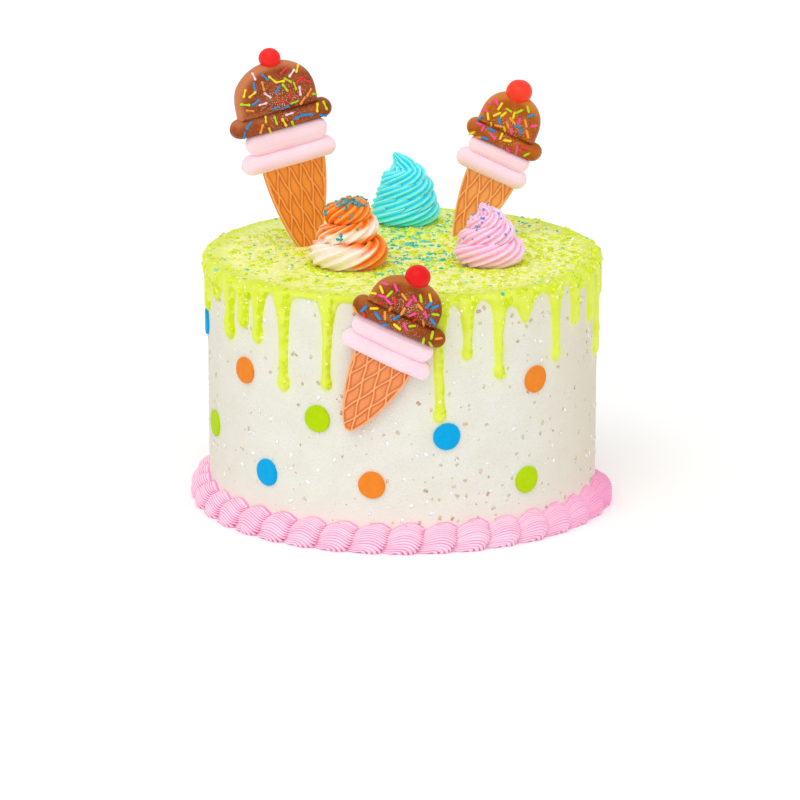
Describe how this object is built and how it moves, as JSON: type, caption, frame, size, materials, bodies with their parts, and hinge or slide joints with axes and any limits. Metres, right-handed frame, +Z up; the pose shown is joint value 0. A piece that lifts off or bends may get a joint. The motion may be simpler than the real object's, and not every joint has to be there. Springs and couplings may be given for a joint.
{
  "type": "ice cream cake",
  "caption": "Tall round iced cake with a lime drip top, piped shell border and swirls, round dots, and fondant ice cream cones standing on it and laid on its side.",
  "frame": {"origin": "middle of the cake's flat underside, which is the middle of the bottom of its bounding box", "axes": "+Z up along the cake's axis, -Y towards the front where the fondant cone lies on the side, +X to the right seen from the front"},
  "size_m": [0.2347, 0.2366, 0.249],
  "materials": {
    "white_icing": "sugary, matt",
    "lime_icing": "glossy glaze with sugar grains",
    "border_icing": "soft piped icing",
    "orange_icing": "soft piped icing, part cream",
    "teal_icing": "soft piped icing",
    "pink_icing": "soft piped icing",
    "waffle_fondant": "matt fondant with a waffle lattice",
    "pink_fondant": "smooth satin fondant",
    "brown_fondant": "satin fondant with strands and dust",
    "cherry_fondant": "smooth satin fondant",
    "blue_fondant": "satin fondant",
    "lime_fondant": "satin fondant",
    "orange_fondant": "satin fondant"
  },
  "bodies": {
    "root": {"cake": "white_icing", "drip_icing": "lime_icing", "shell_border": "border_icing", "swirl_orange": "orange_icing", "swirl_teal": "teal_icing", "swirl_pink": "pink_icing", "cone_left_waffle": "waffle_fondant", "cone_left_pink_scoop": "pink_fondant", "cone_left_pink_roll": "pink_fondant", "cone_left_brown_scoop": "brown_fondant", "cone_left_brown_roll": "brown_fondant", "cone_left_cherry": "cherry_fondant", "cone_right_waffle": "waffle_fondant", "cone_right_pink_scoop": "pink_fondant", "cone_right_pink_roll": "pink_fondant", "cone_right_brown_scoop": "brown_fondant", "cone_right_brown_roll": "brown_fondant", "cone_right_cherry": "cherry_fondant", "cone_front_waffle": "waffle_fondant", "cone_front_pink_scoop": "pink_fondant", "cone_front_pink_roll": "pink_fondant", "cone_front_brown_scoop": "brown_fondant", "cone_front_brown_roll": "brown_fondant", "cone_front_cherry": "cherry_fondant", "dot_01": "blue_fondant", "dot_02": "orange_fondant", "dot_03": "lime_fondant", "dot_04": "lime_fondant", "dot_05": "blue_fondant", "dot_06": "orange_fondant", "dot_07": "blue_fondant", "dot_08": "orange_fondant", "dot_09": "lime_fondant", "dot_10": "blue_fondant", "dot_11": "lime_fondant", "dot_12": "orange_fondant", "dot_13": "blue_fondant", "dot_14": "orange_fondant", "dot_15": "lime_fondant", "dot_16": "blue_fondant", "dot_17": "orange_fondant", "dot_18": "lime_fondant", "dot_19": "blue_fondant", "dot_20": "orange_fondant"}
  },
  "joints": []
}
